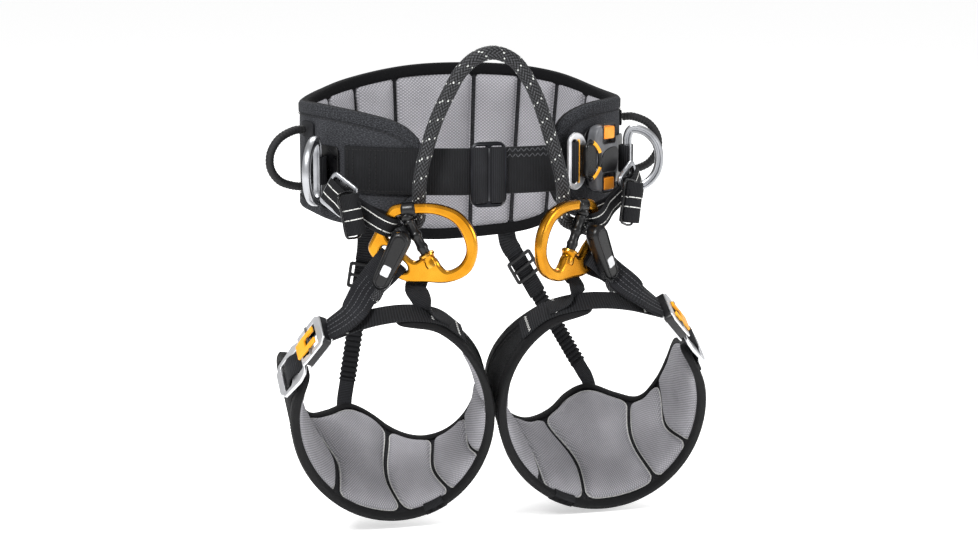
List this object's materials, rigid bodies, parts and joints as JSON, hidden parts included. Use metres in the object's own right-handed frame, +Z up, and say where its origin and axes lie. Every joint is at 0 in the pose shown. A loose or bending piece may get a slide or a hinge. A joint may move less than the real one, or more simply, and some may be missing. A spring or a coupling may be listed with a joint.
{
  "type": "tree climbing saddle",
  "caption": "Arborist climbing harness: padded waist belt and leg loops, gated attachment rings with a standing rope bridge, side rings, gear loops and quick-release buckles.",
  "frame": {"origin": "the middle of the waist belt's hollow, 6.5 mm above the middle line of the front waist strap", "axes": "+Z up as worn, -Y the wearer's front where the rings and the waist strap are, +X towards the quick-release buckle"},
  "size_m": [0.4202, 0.2991, 0.4763],
  "materials": {
    "shell": "charcoal woven outer cloth, faintly heathered",
    "lining": "pale grey spacer mesh over foam",
    "binding": "black ribbed binding tape",
    "webbing": "black woven polyester webbing",
    "gold": "gold anodised, satin",
    "silver": "bright polished",
    "steel": "grey satin",
    "rubber": "black moulded, slightly ribbed",
    "plastic": "black moulded",
    "grey_plastic": "light grey moulded",
    "orange": "orange-yellow moulded",
    "yellow": "yellow anodised lever",
    "rope": "black braid with white flecks"
  },
  "bodies": {
    "saddle": {"belt_shell": "shell", "belt_lining": "lining", "belt_binding": "binding", "waist_strap_left": "webbing", "waist_buckle_base": "plastic", "waist_buckle_cover": "grey_plastic", "side_ring_tab_left": "webbing", "side_ring_tab_right": "webbing", "gear_loop_left_front": "rubber", "gear_loop_left_rear": "rubber", "gear_loop_right_front": "rubber", "gear_loop_right_rear": "rubber", "gated_ring_left": "gold", "gated_ring_right": "gold", "ring_sleeve_left": "rubber", "ring_sleeve_right": "rubber", "bridge_tail_left": "rope", "bridge_tail_right": "rope", "bridge_cap_left": "plastic", "bridge_cap_right": "plastic", "bridge_eye_left": "rope", "bridge_eye_right": "rope", "adjuster_left": "silver", "adjuster_right": "silver", "riser_left": "webbing", "riser_right": "webbing", "strap_roll_left": "webbing", "strap_roll_right": "webbing"},
    "tongue": {"waist_tongue": "silver", "waist_strap_right": "webbing", "slider_frame": "steel"},
    "button_top": {"waist_button_top": "orange"},
    "button_bottom": {"waist_button_bottom": "orange"},
    "side_swivel_left": {"side_ring_left": "silver"},
    "side_swivel_right": {"side_ring_right": "silver"},
    "bridge": {"bridge_rope": "rope"},
    "pin_left": {"ring_pin_left": "steel"},
    "pin_right": {"ring_pin_right": "steel"},
    "leg_left": {"leg_shell_left": "shell", "leg_lining_left": "lining", "leg_binding_left": "binding", "leg_strap_left": "webbing", "leg_buckle_left": "steel", "leg_riser_outer_left": "webbing", "leg_riser_inner_left": "webbing", "rear_strap_left": "webbing", "rear_buckle_left": "plastic"},
    "latch_left": {"leg_latch_left": "yellow"},
    "plug_left": {"leg_tongue_left": "silver"},
    "leg_right": {"leg_shell_right": "shell", "leg_lining_right": "lining", "leg_binding_right": "binding", "leg_strap_right": "webbing", "leg_buckle_right": "steel", "leg_riser_outer_right": "webbing", "leg_riser_inner_right": "webbing", "rear_strap_right": "webbing", "rear_buckle_right": "plastic"},
    "latch_right": {"leg_latch_right": "yellow"},
    "plug_right": {"leg_tongue_right": "silver"}
  },
  "joints": [
    {"name": "tongue_release", "type": "slide", "parent": "saddle", "child": "tongue", "axis": [-0.841, -0.5411, 0], "range_m": [0, 0.0105]},
    {"name": "button_press_top", "type": "slide", "parent": "saddle", "child": "button_top", "axis": [0, 0, -1], "range_m": [0, 0.003], "stiffness_N_per_m": 500},
    {"name": "button_press_bottom", "type": "slide", "parent": "saddle", "child": "button_bottom", "axis": [0, 0, 1], "range_m": [0, 0.003], "stiffness_N_per_m": 500},
    {"name": "side_ring_swing_left", "type": "hinge", "parent": "saddle", "child": "side_swivel_left", "pos_m": [-0.14883, -0.05327, -0.009], "axis": [0, 0, 1], "range_deg": [-64, 3]},
    {"name": "side_ring_swing_right", "type": "hinge", "parent": "saddle", "child": "side_swivel_right", "pos_m": [0.14883, -0.05327, -0.009], "axis": [0, 0, 1], "range_deg": [-50, 18]},
    {"name": "bridge_swing", "type": "hinge", "parent": "saddle", "child": "bridge", "pos_m": [-0.07313, -0.1265, -0.0364], "axis": [0.9988, -0.0475, -0.0137], "range_deg": [0, 65]},
    {"name": "pin_unscrew_left", "type": "slide", "parent": "saddle", "child": "pin_left", "axis": [0.4353, -0.1759, -0.8829], "range_m": [0, 0.036]},
    {"name": "pin_unscrew_right", "type": "slide", "parent": "saddle", "child": "pin_right", "axis": [-0.3892, -0.2625, -0.8829], "range_m": [0, 0.036]},
    {"name": "leg_spread_left", "type": "hinge", "parent": "saddle", "child": "leg_left", "pos_m": [-0.0881, -0.1183, -0.102], "axis": [0.0788, 0.9968, -0.0092], "range_deg": [0, 6]},
    {"name": "leg_spread_right", "type": "hinge", "parent": "saddle", "child": "leg_right", "pos_m": [0.0869, -0.1211, -0.104], "axis": [0.0679, -0.9977, 0], "range_deg": [0, 6]},
    {"name": "latch_lift_left", "type": "hinge", "parent": "leg_left", "child": "latch_left", "pos_m": [-0.16794, -0.11889, -0.14802], "axis": [0, 0.848, 0.5299], "range_deg": [0, 25], "stiffness_Nm_per_rad": 0.05},
    {"name": "plug_release_left", "type": "slide", "parent": "leg_left", "child": "plug_left", "axis": [-0.4527, 0.4725, -0.7561], "range_m": [0, 0.015]},
    {"name": "latch_lift_right", "type": "hinge", "parent": "leg_right", "child": "latch_right", "pos_m": [0.17437, -0.12231, -0.14254], "axis": [0, -0.848, -0.5299], "range_deg": [0, 25], "stiffness_Nm_per_rad": 0.05},
    {"name": "plug_release_right", "type": "slide", "parent": "leg_right", "child": "plug_right", "axis": [0.6218, 0.415, -0.6642], "range_m": [0, 0.015]}
  ]
}
